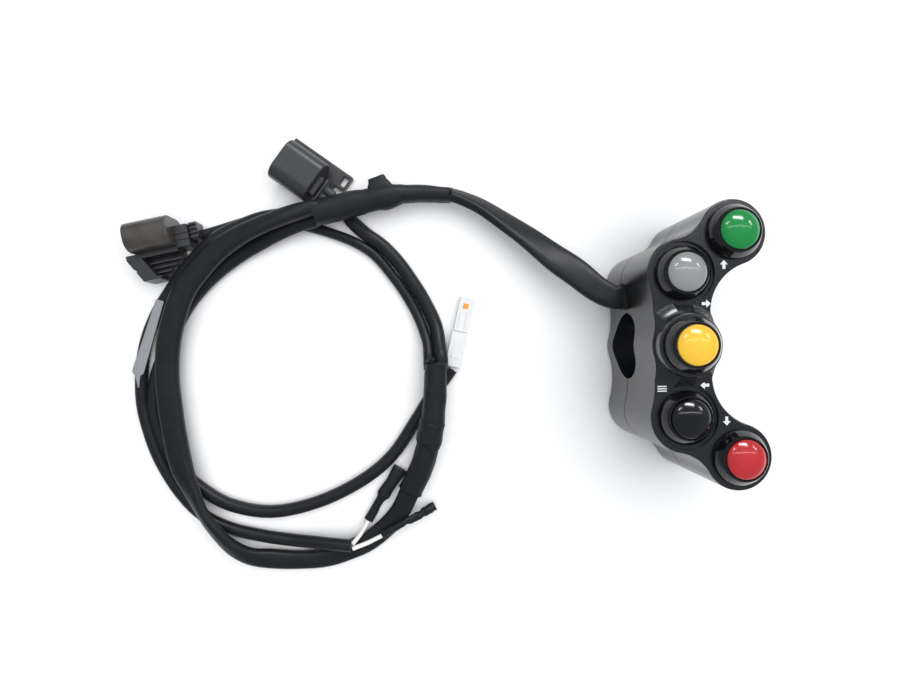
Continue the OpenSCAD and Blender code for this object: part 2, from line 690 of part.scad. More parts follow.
module top_plug() {
    translate(top_plug_at) rotate(top_plug_turn) children();
}
module top_plug_shell() {
    top_plug() plug_shell(shroud_wide, shroud_thin, plate_h + fit, top_aside, top_block, [0.12, 0.12, 0.13]);
}

// Lock plate under the top plug, with a tail past its rear and a window in it
module top_plug_lock() {
    side = top_aside - shroud_wide / 2 - plate_strip;
    front = rear_l + plug_gap + top_block[0] + shroud_l + plate_strip;
    color([0.1, 0.1, 0.1]) top_plug() difference() {
        linear_extrude(plate_h) polygon([[-plate_tail, side], [front, side], [front, side + plate_w],
            [plate_rear, side + plate_w], [plate_rear, side + tail_w], [-plate_tail, side + tail_w]]);
        translate([-plate_tail + window_edge, side + 2 * window_edge, -1])
            cube([plate_tail - window_edge, tail_w - 4 * window_edge, plate_h + 2]);
    }
}

// Two wire seals on a plate at the rear of the top plug
module top_plug_cap() {
    color([0.25, 0.25, 0.26]) top_plug() {
        translate([rear_l - seal_plate[0], seal_v - seal_d, plate_h + fit + block_foot])
            cube([seal_plate[0], seal_pitch + 2 * seal_d, seal_plate[1]]);
        for (k = [0, 1]) translate([-seal_l, seal_v + k * seal_pitch, seal_h]) rotate([0, 90, 0])
            cylinder(d = seal_d, h = seal_l + rear_l - seal_plate[0] / 2);
    }
}

// Small white plug in two steps, with an orange retainer let into its top
retainer = [2, 2, 0.8];
retainer_u = white_l - 3.2;
module white_plug() {
    step_u = white_l / 2;
    front_w = white_w - 0.6;
    color([0.92, 0.92, 0.9]) translate(white_plug_at) rotate(white_plug_turn) difference() {
        union() {
            translate([0, -white_w / 2, 0]) cube([step_u, white_w, white_h]);
            translate([step_u - 1, -front_w / 2, 0]) cube([white_l - step_u + 1, front_w, white_h - 0.4]);
        }
        translate([retainer_u - retainer.x / 2 - fit, -retainer.y / 2 - fit, white_h - 0.4 - retainer.z])
            cube([retainer.x + 2 * fit, retainer.y + 2 * fit, 2]);
        translate([white_l - 4, -front_w / 2 + 1, 1]) cube([5, front_w - 2, 1.6]);
    }
}
module white_plug_retainer() {
    color([0.95, 0.6, 0.25]) translate(white_plug_at) rotate(white_plug_turn)
        translate([retainer_u - retainer.x / 2, -retainer.y / 2, white_h - 0.4 - retainer.z])
            cube(retainer);
}

green = [0.16, 0.58, 0.3];
grey = [0.62, 0.64, 0.64];
yellow = [0.98, 0.75, 0.2];
black = [0.08, 0.08, 0.09];
red = [0.8, 0.2, 0.22];

front_housing();
rear_housing();
clamp_bolts();
cable_grommet();
bezel_gaskets();
ring_nuts();
terminal_pins();
bezel(green_at);  // bezel_green
bezel(grey_at);  // bezel_grey
bezel(yellow_at);  // bezel_yellow
bezel(black_at);  // bezel_black
bezel(red_at);  // bezel_red
cap(green_at, green);  // cap_green
cap(grey_at, grey);  // cap_grey
cap(yellow_at, yellow);  // cap_yellow
cap(black_at, black);  // cap_black
cap(red_at, red);  // cap_red
plunger(green_at);  // plunger_green
plunger(grey_at);  // plunger_grey
plunger(yellow_at);  // plunger_yellow
plunger(black_at);  // plunger_black
plunger(red_at);  // plunger_red
bridge(green_at);  // bridge_green
bridge(grey_at);  // bridge_grey
bridge(yellow_at);  // bridge_yellow
bridge(black_at);  // bridge_black
bridge(red_at);  // bridge_red
return_spring(green_at);  // spring_green
return_spring(grey_at);  // spring_grey
return_spring(yellow_at);  // spring_yellow
return_spring(black_at);  // spring_black
return_spring(red_at);  // spring_red
contact_cup(green_at);  // contact_cup_green
contact_cup(grey_at);  // contact_cup_grey
contact_cup(yellow_at);  // contact_cup_yellow
contact_cup(black_at);  // contact_cup_black
contact_cup(red_at);  // contact_cup_red
trunk_sleeve();
trunk_shrink();
main_sleeve();
cable(upper_route, upper_d, round_sides, loom_black);  // upper_cable
cable(lower_route, lower_d, round_sides, loom_black);  // lower_cable
loop_shrink();
cable(left_route, left_d, thin_sides, loom_black);  // left_cable
cable(top_route, top_d, round_sides, loom_black);  // top_cable
cable(wire_1_route, wire_d, thin_sides, [0.93, 0.93, 0.92]);  // wire_1
cable(wire_2_route, wire_d, thin_sides, [0.93, 0.93, 0.92]);  // wire_2
color(loom_black) laid(boot_1_route, boot_1_sizes, thin_sides);  // wire_boot_1
color(loom_black) laid(boot_2_route, boot_2_sizes, thin_sides);  // wire_boot_2
cable_label();
left_plug_shell();
left_plug_lock();
left_plug_cap();
top_plug_shell();
top_plug_lock();
top_plug_cap();
white_plug();
white_plug_retainer();
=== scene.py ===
import math

import bmesh
import bpy
from mathutils import Matrix, Vector, noise


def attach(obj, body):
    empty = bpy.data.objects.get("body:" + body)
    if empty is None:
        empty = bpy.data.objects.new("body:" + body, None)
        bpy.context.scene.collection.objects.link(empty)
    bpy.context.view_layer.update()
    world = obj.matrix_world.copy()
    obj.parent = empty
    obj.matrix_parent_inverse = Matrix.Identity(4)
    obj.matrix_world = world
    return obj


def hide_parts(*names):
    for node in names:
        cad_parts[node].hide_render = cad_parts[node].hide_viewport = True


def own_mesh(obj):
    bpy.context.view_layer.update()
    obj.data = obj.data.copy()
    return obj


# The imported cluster: housing halves, switches and loom, in metres, with the origin on the bar
# axis under the middle button.
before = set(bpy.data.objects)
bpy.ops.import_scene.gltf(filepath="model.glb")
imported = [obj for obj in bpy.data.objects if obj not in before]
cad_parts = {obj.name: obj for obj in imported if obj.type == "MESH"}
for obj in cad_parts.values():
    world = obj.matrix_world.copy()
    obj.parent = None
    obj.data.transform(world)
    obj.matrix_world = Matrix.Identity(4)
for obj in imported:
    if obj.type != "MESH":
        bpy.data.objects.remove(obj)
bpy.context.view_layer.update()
scene = bpy.context.scene
mm = 0.001

# Camera: held about 20 cm over the table and looking almost straight down, so that the left
# wall of the housing shows. The picture is 900 by 675.
picture_w, picture_h = 900, 675
focal_px = 590
below_camera_px = (430, 347)
camera_roll = -1.15
camera_place = (-75.55 * mm, 1.0 * mm, 199 * mm)
camera_data = bpy.data.cameras.new("camera")
camera_data.sensor_fit = "HORIZONTAL"
camera_data.sensor_width = 36
camera_data.lens = focal_px / picture_w * camera_data.sensor_width
camera_data.clip_start = 10 * mm
camera = bpy.data.objects.new("camera", camera_data)
scene.collection.objects.link(camera)
down = Vector((below_camera_px[0] - picture_w / 2, picture_h / 2 - below_camera_px[1], -focal_px))
camera_back = -down.normalized()
camera_right = Vector((1, 0, 0))
camera_right = (camera_right - camera_right.dot(camera_back) * camera_back).normalized()
camera_up = camera_back.cross(camera_right)
aim = Matrix.Rotation(math.radians(camera_roll), 3, "Z") @ Matrix((camera_right, camera_up, camera_back))
camera.matrix_world = Matrix.Translation(camera_place) @ aim.to_4x4()
scene.camera = camera

# Studio: a white table under a wide soft ceiling that lights it evenly. The button domes mirror
# a panel beyond the top of the picture, two small lamps beside it and a long tube overhead.
scene.view_settings.view_transform = "Standard"
table_z = -18.5 * mm


def new_piece(name, bm):
    """Turns a bmesh into an object that sits at the origin with its place in its mesh."""
    mesh = bpy.data.meshes.new(name)
    bm.to_mesh(mesh)
    bm.free()
    piece = bpy.data.objects.new(name, mesh)
    scene.collection.objects.link(piece)
    return piece


floor_bm = bmesh.new()
bmesh.ops.create_grid(floor_bm, x_segments=1, y_segments=1, size=4,
                      matrix=Matrix.Translation((0, 0, table_z - 0.05 * mm)))
floor = new_piece("table", floor_bm)
floor_paint = bpy.data.materials.new("table_white")
floor_paint.use_nodes = True
floor_shader = floor_paint.node_tree.nodes["Principled BSDF"]
floor_shader.inputs["Base Color"].default_value = (0.93, 0.93, 0.935, 1)
floor_shader.inputs["Roughness"].default_value = 0.7
floor.data.materials.append(floor_paint)

room = bpy.data.worlds.new("room")
room.use_nodes = True
room.node_tree.nodes["Background"].inputs["Color"].default_value = (0.9, 0.95, 1, 1)
room.node_tree.nodes["Background"].inputs["Strength"].default_value = 0.28
scene.world = room


def soft_light(name, place, target, size, watts, mirrored):
    """A rectangular lamp aimed at a point, which either shows in gloss or only gives light."""
    lamp = bpy.data.lights.new(name, "AREA")
    lamp.shape = "RECTANGLE"
    lamp.size, lamp.size_y = size
    lamp.energy = watts
    holder = bpy.data.objects.new(name, lamp)
    scene.collection.objects.link(holder)
    way = Vector(target) - Vector(place)
    holder.matrix_world = (Matrix.Translation(place)
                           @ way.to_track_quat("-Z", "Y").to_matrix().to_4x4())
    holder.visible_glossy = mirrored
    holder.visible_diffuse = not mirrored


soft_light("ceiling", (0.1, 0.15, 1.2), (-0.05, 0, 0), (1.6, 1.6), 23, False)
soft_light("panel", (0.19, 0.74, 0.6), (0, 0, 0.03), (0.5, 0.16), 5, True)
soft_light("lamp_left", (-0.4, 0.53, 0.68), (0, 0, 0.03), (0.22, 0.06), 0.6, True)
soft_light("lamp_right", (0.73, 0.4, 0.46), (0, 0, 0.03), (0.22, 0.06), 0.6, True)
soft_light("tube", (0.28, 0.26, 0.75), (0.28, 0, 0), (1.6, 0.03), 1.1, True)

# Trunk sleeve: a soft flat black PVC sleeve that carries all the wires out of the housing. It
# leaves the grommet flat and has turned on its edge where the heat-shrink grips it.


def smooth_rows(rows, fine):
    """Rows of numbers on a smooth line through the given rows, fine steps to each span."""
    first = [2 * a - b for a, b in zip(rows[0], rows[1])]
    last = [2 * a - b for a, b in zip(rows[-1], rows[-2])]
    ends = [first, *rows, last]
    out = []
    for i in range(1, len(ends) - 2):
        for step in range(fine):
            t = step / fine
            out.append([0.5 * (2 * b + (c - a) * t + (2 * a - 5 * b + 4 * c - d) * t * t
                               + (3 * b - a - 3 * c + d) * t ** 3)
                        for a, b, c, d in zip(*ends[i - 1:i + 3])])
    out.append(list(rows[-1]))
    return out


def ring_places(line, sizes, twists):
    """One matrix for each ring of a sweep: square to the line, as wide and thick as asked."""
    places = []
    for i, point in enumerate(line):
        ahead = (line[min(i + 1, len(line) - 1)] - line[max(i - 1, 0)]).normalized()
        level = Vector((0, 0, 1)).cross(ahead).normalized()
        across = Matrix.Rotation(math.radians(twists[i]), 3, ahead) @ level
        upward = ahead.cross(across)
        wide, thick = sizes[i]
        place = Matrix((across * wide / 2, upward * thick / 2, ahead * mm)).transposed().to_4x4()
        place.translation = point
        places.append(place)
    return places


def sweep(name, rows, fine=5, sides=20, flat=1.0, lumps=0.0, lump_size=6.0):
    """A closed tube along rows of x, y, height over the table, width, thickness and twist, in mm."""
    rows = smooth_rows(rows, fine)
    line = [Vector((x, y, h)) * mm + Vector((0, 0, table_z)) for x, y, h, *_ in rows]
    places = ring_places(line, [(row[3] * mm, row[4] * mm) for row in rows], [sum(row[5:]) for row in rows])
    bm = bmesh.new()
    along = bm.verts.layers.float.new("along")
    around = bm.verts.layers.float.new("around")
    ring = bmesh.ops.create_circle(bm, radius=1, segments=sides)["verts"]
    for v in ring:
        v[around] = math.atan2(v.co.y, v.co.x)
        v.co.x = math.copysign(abs(v.co.x) ** flat, v.co.x)
        v.co.y = math.copysign(abs(v.co.y) ** flat, v.co.y)
    bmesh.ops.transform(bm, matrix=places[0], verts=ring)
    edges = bm.edges[:]
    ends = [edges]
    travelled = 0.0
    for i in range(1, len(places)):
        travelled += (line[i] - line[i - 1]).length
        made = bmesh.ops.extrude_edge_only(bm, edges=edges)["geom"]
        ring = [g for g in made if isinstance(g, bmesh.types.BMVert)]
        held = set(ring)
        edges = [g for g in made if isinstance(g, bmesh.types.BMEdge) and held.issuperset(g.verts)]
        bmesh.ops.transform(bm, matrix=places[i] @ places[i - 1].inverted(), verts=ring)
        for v in ring:
            v[along] = travelled
    ends.append(edges)
    if lumps:
        bm.normal_update()
        for v in bm.verts:
            v.co += v.normal * noise.noise(v.co / (lump_size * mm)) * lumps * mm
    for f in bm.faces:
        f.smooth = True
    for loop in ends:
        bmesh.ops.edgeloop_fill(bm, edges=loop)
        for e in loop:
            e.smooth = False
    bmesh.ops.recalc_face_normals(bm, faces=bm.faces)
    return new_piece(name, bm), line


def group_of(name, inputs, outputs):
    """An empty shader group with named sockets, and its two end nodes."""
    group = bpy.data.node_groups.new(name, "ShaderNodeTree")
    for label, kind, value in inputs:
        group.interface.new_socket(label, in_out="INPUT", socket_type=kind).default_value = value
    for label, kind in outputs:
        group.interface.new_socket(label, in_out="OUTPUT", socket_type=kind)
    return group, group.nodes.new("NodeGroupInput"), group.nodes.new("NodeGroupOutput")


def node_with(tree, kind, **values):
    """A shader node with some of its properties or input values set."""
    node = tree.nodes.new(kind)
    for label, value in values.items():
        if label in node.inputs.keys():
            node.inputs[label].default_value = value
        else:
            setattr(node, label, value)
    return node


def mottled(tree, pattern, given, taken):
    """Links a pattern to a group's colour and roughness, each changed by its own amount."""
    shade = node_with(tree, "ShaderNodeMapRange")
    tree.links.new(pattern, shade.inputs["Value"])
    low = node_with(tree, "ShaderNodeMath", operation="SUBTRACT")
    low.inputs[0].default_value = 1
    high = node_with(tree, "ShaderNodeMath", operation="ADD")
    high.inputs[0].default_value = 1
    tree.links.new(given.outputs["Mottle"], low.inputs[1])
    tree.links.new(given.outputs["Mottle"], high.inputs[1])
    tree.links.new(low.outputs[0], shade.inputs["To Min"])
    tree.links.new(high.outputs[0], shade.inputs["To Max"])
    tint = node_with(tree, "ShaderNodeVectorMath", operation="SCALE")
    tree.links.new(given.outputs["Colour"], tint.inputs[0])
    tree.links.new(shade.outputs[0], tint.inputs["Scale"])
    tree.links.new(tint.outputs[0], taken.inputs["Colour"])
    rough = node_with(tree, "ShaderNodeMath", operation="MULTIPLY_ADD")
    tree.links.new(pattern, rough.inputs[0])
    tree.links.new(given.outputs["Spread"], rough.inputs[1])
    tree.links.new(given.outputs["Roughness"], rough.inputs[2])
    tree.links.new(rough.outputs[0], taken.inputs["Roughness"])


SURFACE_IN = [("Colour", "NodeSocketColor", (0.1, 0.1, 0.1, 1)),
              ("Size", "NodeSocketFloat", 500.0),
              ("Mottle", "NodeSocketFloat", 0.1),
              ("Roughness", "NodeSocketFloat", 0.4),
              ("Spread", "NodeSocketFloat", 0.1)]
SURFACE_OUT = [("Colour", "NodeSocketColor"), ("Roughness", "NodeSocketFloat"),
               ("Height", "NodeSocketFloat")]

# Stretched skin: soft streaks along a sleeve with fine creases across it, on the sleeve's own
# length and girth.
stretched_skin, given, taken = group_of("stretched_skin", SURFACE_IN, SURFACE_OUT)
lengthwise = node_with(stretched_skin, "ShaderNodeAttribute", attribute_name="along")
girth = node_with(stretched_skin, "ShaderNodeAttribute", attribute_name="around")
unrolled = node_with(stretched_skin, "ShaderNodeCombineXYZ")
girth_scaled = node_with(stretched_skin, "ShaderNodeMath", operation="MULTIPLY")
girth_scaled.inputs[1].default_value = 0.004
stretched_skin.links.new(girth.outputs["Fac"], girth_scaled.inputs[0])
stretched_skin.links.new(lengthwise.outputs["Fac"], unrolled.inputs["X"])
stretched_skin.links.new(girth_scaled.outputs[0], unrolled.inputs["Y"])
streaks = node_with(stretched_skin, "ShaderNodeTexNoise", Detail=3.0)
stretched_skin.links.new(unrolled.outputs[0], streaks.inputs["Vector"])
stretched_skin.links.new(given.outputs["Size"], streaks.inputs["Scale"])
mottled(stretched_skin, streaks.outputs["Fac"], given, taken)
stretched_skin.links.new(streaks.outputs["Fac"], taken.inputs["Height"])


def finish_of(name, group, colour, size, mottle, rough, spread, bump=0.1, depth=0.1, **sockets):
    """A material: a surface group into the shader, with the constant values on its sockets."""
    paint = bpy.data.materials.new(name)
    paint.use_nodes = True
    tree = paint.node_tree
    shader = tree.nodes["Principled BSDF"]
    surface = node_with(tree, "ShaderNodeGroup", node_tree=group)
    surface.inputs["Colour"].default_value = (*colour, 1)
    for label, value in (("Size", size), ("Mottle", mottle), ("Roughness", rough), ("Spread", spread)):
        surface.inputs[label].default_value = value
    tree.links.new(surface.outputs["Colour"], shader.inputs["Base Color"])
    tree.links.new(surface.outputs["Roughness"], shader.inputs["Roughness"])
    dent = node_with(tree, "ShaderNodeBump", Strength=bump, Distance=depth * mm)
    tree.links.new(surface.outputs["Height"], dent.inputs["Height"])
    tree.links.new(dent.outputs["Normal"], shader.inputs["Normal"])
    for label, value in sockets.items():
        shader.inputs[label.replace("_", " ")].default_value = value
    return paint


def dress(piece, paint, body="housing", replaced=()):
    """Gives a new piece its material, slot and body, and the CAD nodes that it stands for."""
    piece.data.materials.append(paint)
    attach(piece, body)
    if replaced:
        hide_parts(*replaced)
    return piece


sleeve_pvc = finish_of("sleeve_pvc", stretched_skin, (0.0125, 0.0135, 0.016), 260, 0.35, 0.34, 0.12,
                       bump=0.25, depth=0.12, Specular_IOR_Level=0.26)
trunk_rows = [(-9.6, 16.8, 18.5, 7.8, 4, 0), (-10.5, 16.8, 18.5, 8, 4.2, 0),
              (-13.2, 16.9, 18.3, 8.2, 4.2, 0), (-18.5, 20.3, 16.6, 9.2, 3.8, 2),
              (-24.5, 26, 14.5, 10.1, 3.5, 8), (-32, 32, 12.5, 10.2, 3.4, 18), (-40, 39, 10.5, 9.3, 3.4, 29),
              (-48, 45, 9, 8.6, 3.6, 40), (-56, 50.5, 8.2, 7.8, 3.8, 49), (-62.5, 53.6, 8, 7.2, 3.9, 55),
              (-66.7, 55, 8, 6.8, 4, 58), (-69.5, 55.5, 8, 6, 3.8, 60)]
trunk_sleeve, trunk_line = sweep("trunk_sleeve_pvc", trunk_rows, sides=40, flat=0.62, lumps=0.1, lump_size=9)
dress(trunk_sleeve, sleeve_pvc, replaced=["trunk_sleeve"])

# Trunk shrink: heat-shrink tube over the first branching. The splice under it stands up in a
# square fold on one side, and its cut edges end in a thin lip.
shrink_tube = finish_of("shrink_tube", stretched_skin, (0.012, 0.013, 0.0155), 420, 0.3, 0.42, 0.16,
                        bump=0.3, depth=0.1, Specular_IOR_Level=0.28)
trunk_shrink_rows = [(-67.5, 55, 8, 5.8, 7.2), (-68.1, 55, 8, 5.2, 7), (-76, 55.4, 8.2, 5.9, 7),
                     (-84, 55.5, 8.5, 6.6, 7.2), (-86.3, 55, 8.8, 7.6, 7.4), (-89.5, 54.4, 9, 8.7, 7.8),
                     (-91.5, 54, 9.1, 8.8, 7.8), (-94, 53.6, 9.1, 8.1, 7.6), (-96.5, 53.2, 9.2, 8.2, 7.4),
                     (-100.5, 52.3, 9.2, 9, 7.4), (-105.5, 51.1, 9.2, 9.3, 7.6), (-115.3, 48.9, 9, 9.2, 8.5)]
trunk_shrink, _ = sweep("trunk_shrink_tube", trunk_shrink_rows, flat=0.85, lumps=0.3, lump_size=4)
dress(trunk_shrink, shrink_tube, replaced=["trunk_shrink"])
fold_rows = [(-91.4, 53.8, 9, 10.2, 7), (-91.9, 56.2, 9.2, 9.8, 6.4), (-92.5, 58.2, 9.4, 8.2, 5.8),
             (-92.9, 59.6, 9.4, 6.6, 5.2), (-93.2, 60.7, 9.4, 6, 4.6), (-93.3, 61, 9.4, 5.2, 4)]
trunk_fold, _ = sweep("trunk_shrink_fold", fold_rows, sides=24, flat=0.45, lumps=0.25, lump_size=2.5)
dress(trunk_fold, shrink_tube)

# Loop shrink: heat-shrink tube over the second branching, in two lengths that meet over the
# splice, where the upper one ends in a rough thick band.
loop_shrink_rows = [(-83.5, -50, 5.6, 8.9, 7.2), (-83.2, -49.4, 5.7, 8.4, 7), (-79.5, -42, 6.9, 8.4, 8),
                    (-77.3, -35, 8, 8.2, 8.2), (-76.8, -33, 8.3, 8.5, 8.2), (-76.6, -32.4, 8.4, 9.4, 8.4),
                    (-75.9, -29, 8.7, 9.1, 8.4), (-75.2, -25.6, 8.8, 9.3, 8.4), (-75, -24.8, 8.9, 8.5, 8.4),
                    (-74.6, -21, 8.9, 8.3, 8.4), (-74, -14, 8.9, 8.2, 8.4), (-73.5, -5.6, 8.9, 8, 8.4),
                    (-73.5, -5, 8.9, 8.4, 8.6)]
loop_shrink, _ = sweep("loop_shrink_tube", loop_shrink_rows, flat=0.85, lumps=0.25, lump_size=4)
dress(loop_shrink, shrink_tube, replaced=["loop_shrink"])

# Main sleeve: the flat black branch that lies over the others and makes the big loop from the
# trunk shrink round to the loop shrink. It turns on its edge where it crosses the upper cable.
main_rows = [(-112.5, 50.5, 9.9, 4.6, 5, 0), (-116, 50.3, 10.8, 5.2, 5, 0),
             (-123.5, 48.2, 10.9, 6, 4.6, 20), (-131.5, 45.5, 10.6, 6.6, 4.4, 25),
             (-140, 42, 9.6, 7.4, 4.4, 20), (-148.5, 37, 8.5, 8, 4.4, 10), (-155, 31, 8, 8.2, 4.4, 0),
             (-161.5, 22.5, 7.5, 8.2, 4.4, 0), (-165.5, 12, 7.3, 8.2, 4.4, 0), (-167.5, 2, 7.2, 8.2, 4.4, 0),
             (-167.7, -9, 7.2, 8.2, 4.4, 0), (-166.7, -20, 7.2, 8.2, 4.4, 0), (-165, -31, 7.2, 8.1, 4.4, 2),
             (-162.9, -40, 7.3, 7.8, 4.4, 12), (-159.8, -47.5, 7.5, 6.9, 4.1, 32),
             (-155.8, -55.9, 7.8, 6.2, 3.6, 50), (-150.7, -63.1, 7.5, 6.2, 3.7, 46),
             (-146.3, -68.1, 6.4, 6.2, 4, 34), (-140.7, -71.8, 4.9, 6.4, 4.1, 20),
             (-134.2, -73.4, 3.2, 6.7, 4.4, 6), (-124, -74.4, 2.4, 6.3, 4.4, 0),
             (-114, -73.8, 2.4, 6.6, 4.4, 0), (-105.5, -71.3, 2.4, 7, 4.4, 0), (-99, -68.5, 2.4, 7.2, 4.4, 0),
             (-92.5, -63.5, 2.9, 7.2, 4.4, 0), (-87.5, -57.8, 4, 7.2, 4.4, 0),
             (-83.9, -50.7, 5.4, 7.2, 4.4, 0), (-82.2, -47.5, 5.9, 7, 4.4, 0)]
main_sleeve, main_line = sweep("main_sleeve_pvc", main_rows, sides=32, flat=0.75, lumps=0.15, lump_size=11)
dress(main_sleeve, sleeve_pvc, replaced=["main_sleeve"])

# Upper cable: a round black cable outside the main sleeve on the left. Its sheath is cut square
# where the two white wires come out, and a bare silver-white label is wrapped along its top.


def round_rows(points, across):
    """Route points as rows of a sweep that is round and of one size."""
    return [(*p, across, across) for p in points]


upper_points = [(-113.5, 51.2, 6.9), (-116.6, 51.2, 6.3), (-125, 49.7, 6.2), (-134.5, 48.2, 6.2),
                (-142, 45.5, 6.2), (-148.5, 42.5, 6.2), (-153.5, 39, 5.9), (-159.5, 34, 4), (-167, 25, 2.5),
                (-173, 15.5, 2.3), (-177, 5.5, 2.3), (-178.8, -5, 2.3), (-178.8, -16, 2.3),
                (-176.8, -26, 2.3), (-172.8, -37.2, 2.3), (-166, -48.8, 2.3), (-158, -57.4, 2.3),
                (-148.5, -62.5, 2.3), (-137, -65.5, 2.3), (-127, -67, 3.1), (-119, -67.5, 4.7),
                (-111.5, -68, 6.4), (-104.5, -68.5, 7.3)]
upper_cable, upper_line = sweep("upper_cable_pvc", round_rows(upper_points, 4.4))
dress(upper_cable, sleeve_pvc, replaced=["upper_cable"])
label_rows = [(-171, 19.5, 4.9, 3, 0.25), (-173.7, 11, 4.9, 3.4, 0.25), (-176.4, 2.4, 4.9, 3.8, 0.25),
              (-178.6, -4.6, 4.9, 4.2, 0.25), (-179, -6.2, 4.9, 3.8, 0.25), (-179.1, -7.4, 4.8, 1.8, 0.25),
              (-179, -11.3, 4.7, 0.4, 0.25)]
label_foil = finish_of("label_foil", stretched_skin, (0.27, 0.28, 0.3), 500, 0.12, 0.3, 0.2, bump=0.2)
label, _ = sweep("cable_label_foil", label_rows, fine=8, sides=8, flat=0.4)
dress(label, label_foil, replaced=["cable_label"])

# White wires and their boots: two thin wires out of the cut sheath, each sealed off in a short
# black boot that is shrunk on and thicker towards its closed end.
wire_skin = finish_of("wire_skin", stretched_skin, (0.85, 0.85, 0.83), 400, 0.05, 0.38, 0.1)
wire_1_points = [(-104.2, -67.8, 7.9), (-101.5, -65, 5), (-98.8, -61, 2)]
wire_2_points = [(-104.3, -69.6, 7.1), (-99, -68, 6), (-93.4, -65.3, 6.3)]
wire_1, _ = sweep("white_wire_1", round_rows(wire_1_points, 1.6), sides=12)
wire_2, _ = sweep("white_wire_2", round_rows(wire_2_points, 1.6), sides=12)
dress(wire_1, wire_skin, replaced=["wire_1"])
dress(wire_2, wire_skin, replaced=["wire_2"])
boot_1, _ = sweep("wire_boot_1_tube", [(-98.9, -61, 1.9, 3.4, 3), (-95.4, -55, 2.2, 3, 2.8),
                                       (-94, -52.8, 2.4, 3.6, 3.4), (-93.2, -51.6, 2.5, 4.8, 4),
                                       (-90.5, -47.8, 2.5, 4.4, 3.8), (-87.6, -43.5, 2.5, 5.4, 2.8),
                                       (-87, -42.6, 2.5, 5.6, 2.4)],
                  flat=0.8, lumps=0.2, lump_size=2.5)
boot_2, _ = sweep("wire_boot_2_tube", [(-93.6, -65.4, 6.3, 2.6, 2.6), (-87.5, -61.7, 7.1, 2.4, 2.4),
                                       (-81.5, -59.4, 5.3, 2.8, 2.6), (-75, -56.4, 3.3, 3.4, 3)],
                  fine=14, lumps=0.45, lump_size=1.5)
dress(boot_1, shrink_tube, replaced=["wire_boot_1"])
dress(boot_2, shrink_tube, replaced=["wire_boot_2"])

# White plug: a small stepped nylon plug on the lower cable, with an orange retainer pushed into
# its top. Nylon is moulded, so its edges are softly rounded and its skin is faintly cloudy.
moulded_skin, given, taken = group_of("moulded_skin", SURFACE_IN, SURFACE_OUT)
in_piece = node_with(moulded_skin, "ShaderNodeTexCoord")
grain = node_with(moulded_skin, "ShaderNodeTexNoise", Detail=4.0)
moulded_skin.links.new(in_piece.outputs["Object"], grain.inputs["Vector"])
moulded_skin.links.new(given.outputs["Size"], grain.inputs["Scale"])
mottled(moulded_skin, grain.outputs["Fac"], given, taken)
moulded_skin.links.new(grain.outputs["Fac"], taken.inputs["Height"])


def box_in(bm, low, high):
    """Adds a box between two corners given in mm."""
    size = Vector(high) - Vector(low)
    middle = (Vector(high) + Vector(low)) / 2
    place = Matrix.Translation(middle * mm) @ Matrix.Diagonal((*(size * mm), 1))
    return bmesh.ops.create_cube(bm, size=1, matrix=place)["verts"]


def soften(piece, width, segments=3, angle=35):
    """Rounds the sharp edges of a piece and keeps its flat faces flat in the light."""
    rounding = piece.modifiers.new("rounding", "BEVEL")
    rounding.limit_method = "ANGLE"
    rounding.angle_limit = math.radians(angle)
    rounding.width = width * mm
    rounding.segments = segments
    even_light(piece)


def even_light(piece, sharp=50):
    """Shades a piece smoothly, with its flat faces kept flat and its sharp edges kept sharp."""
    piece.data.shade_smooth()
    piece.data.set_sharp_from_angle(angle=math.radians(sharp))
    weighted = piece.modifiers.new("even_light", "WEIGHTED_NORMAL")
    weighted.keep_sharp = True


def on_table(x, y, turn):
    """The place of a plug: its rear face at x and y on the table, pointing along turn."""
    return (Matrix.Translation((x * mm, y * mm, table_z))
            @ Matrix.Rotation(math.radians(turn), 4, "Z"))


white_place = on_table(-67.5, -6.2, 76.6)
white_bm = bmesh.new()
box_in(white_bm, (0, -2.8, 0), (12.75, 2.8, 4.6))
box_in(white_bm, (12.9, -2.5, 0), (25.5, 2.5, 4.2))
for side in (-1, 1):
    box_in(white_bm, (14, 1.25 * side - 0.35, 4.2), (20, 1.25 * side + 0.35, 4.5))
box_in(white_bm, (3, -1.5, 4.6), (10, 1.5, 4.9))
white_bm.transform(white_place)
white_plug = new_piece("white_plug_nylon", white_bm)
soften(white_plug, 0.3)
nylon = finish_of("nylon_white", moulded_skin, (0.74, 0.75, 0.76), 350, 0.05, 0.35, 0.15)
dress(white_plug, nylon, replaced=["white_plug"])
retainer_bm = bmesh.new()
box_in(retainer_bm, (21.3, -1, 3.4), (23.3, 1, 4.35))
retainer_bm.transform(white_place)
retainer = new_piece("white_plug_retainer_clip", retainer_bm)
soften(retainer, 0.15)
dress(retainer, finish_of("nylon_orange", moulded_skin, (0.9, 0.33, 0.05), 600, 0.08, 0.35, 0.15),
      replaced=["white_plug_retainer"])

